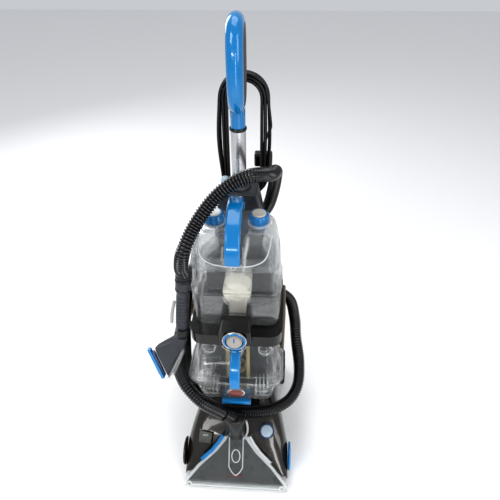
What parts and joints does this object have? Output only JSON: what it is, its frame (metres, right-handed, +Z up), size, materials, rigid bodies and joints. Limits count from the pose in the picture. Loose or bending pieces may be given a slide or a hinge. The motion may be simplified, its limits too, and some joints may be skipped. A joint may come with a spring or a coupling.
{
  "type": "carpet cleaner machine",
  "caption": "Upright carpet washing machine with clean and dirty water tanks, a clear suction nozzle, a looped handle, a stretch hose with a hand tool, and a wrapped mains cord.",
  "frame": {"origin": "on the floor under the middle of the machine's box, the free hose and mains cord left out", "axes": "+Z up, -Y forward to the nozzle, +X to the machine's left as it faces forward, which is the right-hand side seen from the front"},
  "size_m": [0.3968, 0.4846, 1.1203],
  "materials": {
    "slate_plastic": "fine satin moulding",
    "dark_bronze": "high gloss metallic bronze",
    "taupe_bronze": "satin metallic",
    "glossy_blue": "high gloss",
    "black_plastic": "satin",
    "hose_vinyl": "glossy ribbed vinyl",
    "cord_vinyl": "satin flexible vinyl",
    "rubber_black": "matt",
    "clear_plastic": "clear moulded plastic",
    "light_grey_plastic": "satin",
    "pale_blue_grey": "satin",
    "olive_grey": "satin",
    "beige_grey": "satin",
    "pale_blue": "satin",
    "grip_grey_brown": "soft-touch satin",
    "cap_white": "satin",
    "cap_beige": "satin",
    "cream_plastic": "satin",
    "satin_aluminium": "satin",
    "steel": "machined"
  },
  "bodies": {
    "base": {"base_chassis": "slate_plastic", "pivot_shaft": "steel", "rear_axle": "steel", "base_hood": "dark_bronze", "nozzle_cover": "clear_plastic", "hose_port": "black_plastic", "left_side_cover": "glossy_blue", "right_side_cover": "glossy_blue", "brush_motor": "steel", "drive_belt": "rubber_black", "spray_bar": "light_grey_plastic", "water_pump": "black_plastic", "hose_connector": "black_plastic", "stretch_hose": "hose_vinyl"},
    "left_wheel": {"left_wheel": "rubber_black"},
    "right_wheel": {"right_wheel": "rubber_black"},
    "brush": {"brush_roller": "glossy_blue"},
    "motor_pulley": {"motor_pulley": "steel"},
    "foot_button": {"foot_button": "pale_blue_grey"},
    "release_pedal": {"release_pedal": "olive_grey"},
    "connector_lever": {"connector_lever": "light_grey_plastic"},
    "upright": {"lower_case": "slate_plastic", "lower_back_cover": "slate_plastic", "left_side_rail": "taupe_bronze", "right_side_rail": "taupe_bronze", "tank_cradle": "slate_plastic", "suction_motor": "steel", "tank_shelf": "black_plastic", "spine_case": "slate_plastic", "spine_back_cover": "slate_plastic", "pole": "satin_aluminium", "hose_rest": "pale_blue", "handle_outer_shell": "glossy_blue", "handle_inner_shell": "grip_grey_brown", "lower_cord_hook": "black_plastic", "strain_relief": "black_plastic", "cord_lead": "cord_vinyl", "cord_winding": "cord_vinyl", "cord_tail": "cord_vinyl", "mains_plug": "black_plastic", "tool_clip": "black_plastic", "wand_grip": "slate_plastic"},
    "suction_fan": {"suction_fan": "light_grey_plastic"},
    "mode_dial": {"mode_dial": "beige_grey"},
    "spray_trigger": {"spray_trigger": "black_plastic"},
    "upper_cord_hook": {"upper_cord_hook": "black_plastic"},
    "clean_tank": {"clean_tank": "clear_plastic", "clean_tank_handle": "glossy_blue", "tank_valve": "cream_plastic"},
    "water_cap": {"water_cap": "cap_beige"},
    "detergent_cap": {"detergent_cap": "cap_white"},
    "dirty_tank": {"dirty_tank": "clear_plastic", "dirty_tank_handle": "glossy_blue"},
    "tank_latch": {"tank_latch": "glossy_blue"},
    "tank_float": {"tank_float": "light_grey_plastic"},
    "wand_trigger": {"wand_trigger": "light_grey_plastic"},
    "hand_tool": {"hand_tool": "slate_plastic", "tool_brush_strip": "glossy_blue", "tool_window": "clear_plastic"}
  },
  "joints": [
    {"name": "recline", "type": "hinge", "parent": "base", "child": "upright", "pos_m": [0.03405, 0.11185, 0.09], "axis": [-1, 0, 0], "range_deg": [0, 60], "deforming": ["stretch_hose"]},
    {"name": "left_wheel_spin", "type": "hinge", "parent": "base", "child": "left_wheel", "pos_m": [-0.08195, 0.16185, 0.055], "axis": [1, 0, 0], "continuous": true},
    {"name": "right_wheel_spin", "type": "hinge", "parent": "base", "child": "right_wheel", "pos_m": [0.15005, 0.16185, 0.055], "axis": [1, 0, 0], "continuous": true},
    {"name": "brush_spin", "type": "hinge", "parent": "base", "child": "brush", "pos_m": [0.03405, -0.13315, 0.034], "axis": [1, 0, 0], "continuous": true},
    {"name": "motor_spin", "type": "hinge", "parent": "base", "child": "motor_pulley", "pos_m": [0.13405, -0.03815, 0.075], "axis": [1, 0, 0], "continuous": true},
    {"name": "foot_button_press", "type": "slide", "parent": "base", "child": "foot_button", "axis": [-0.1039, 0.624, -0.7745], "range_m": [0, 0.005], "stiffness_N_per_m": 400, "springref_m": -0.004},
    {"name": "pedal_press", "type": "hinge", "parent": "base", "child": "release_pedal", "pos_m": [-0.05136, -0.11756, 0.11863], "axis": [0.9889, -0.1483, 0], "range_deg": [0, 10], "stiffness_Nm_per_rad": 0.6, "springref_deg": -14.32},
    {"name": "connector_lever_release", "type": "hinge", "parent": "base", "child": "connector_lever", "pos_m": [0.06155, -0.14215, 0.22], "axis": [0, -1, 0], "range_deg": [0, 20], "stiffness_Nm_per_rad": 0.05, "springref_deg": -17.19},
    {"name": "fan_spin", "type": "hinge", "parent": "upright", "child": "suction_fan", "pos_m": [0.03405, 0.08935, 0.367], "axis": [0, 0, 1], "continuous": true},
    {"name": "dial_turn", "type": "hinge", "parent": "upright", "child": "mode_dial", "pos_m": [0.03405, -0.09075, 0.4743], "axis": [0, -1, 0], "range_deg": [-45, 45]},
    {"name": "spray_trigger_squeeze", "type": "hinge", "parent": "upright", "child": "spray_trigger", "pos_m": [0.03405, 0.10785, 1.063], "axis": [-1, 0, 0], "range_deg": [0, 4.5], "stiffness_Nm_per_rad": 0.4, "springref_deg": -11.46},
    {"name": "upper_hook_turn", "type": "hinge", "parent": "upright", "child": "upper_cord_hook", "pos_m": [0.03405, 0.18935, 0.955], "axis": [0, 1, 0], "range_deg": [0, 180]},
    {"name": "clean_tank_lift", "type": "slide", "parent": "upright", "child": "clean_tank", "axis": [0, 0, 1], "range_m": [0, 0.012]},
    {"name": "water_cap_turn", "type": "hinge", "parent": "clean_tank", "child": "water_cap", "pos_m": [0.08405, 0.04185, 0.7225], "axis": [0, 0, 1], "range_deg": [0, 90]},
    {"name": "detergent_cap_turn", "type": "hinge", "parent": "clean_tank", "child": "detergent_cap", "pos_m": [-0.01595, 0.04185, 0.7225], "axis": [0, 0, 1], "range_deg": [0, 90]},
    {"name": "dirty_tank_slide", "type": "slide", "parent": "upright", "child": "dirty_tank", "axis": [0, -1, 0], "range_m": [0, 0.008]},
    {"name": "tank_latch_press", "type": "slide", "parent": "dirty_tank", "child": "tank_latch", "axis": [0, 1, 0], "range_m": [0, 0.003], "stiffness_N_per_m": 300, "springref_m": -0.004},
    {"name": "float_rise", "type": "slide", "parent": "dirty_tank", "child": "tank_float", "axis": [0, 0, 1], "range_m": [0, 0.04]},
    {"name": "wand_trigger_squeeze", "type": "hinge", "parent": "upright", "child": "wand_trigger", "pos_m": [-0.10787, -0.04515, 0.54488], "axis": [0, -1, 0], "range_deg": [0, 4], "stiffness_Nm_per_rad": 0.2, "springref_deg": -11.46},
    {"name": "hand_tool_pull", "type": "slide", "parent": "upright", "child": "hand_tool", "axis": [-0.0903, -0.1324, -0.9871], "range_m": [0, 0.02]}
  ],
  "couplings": [
    {"joint": "motor_spin", "follows": "brush_spin", "ratio": 1.6667}
  ]
}
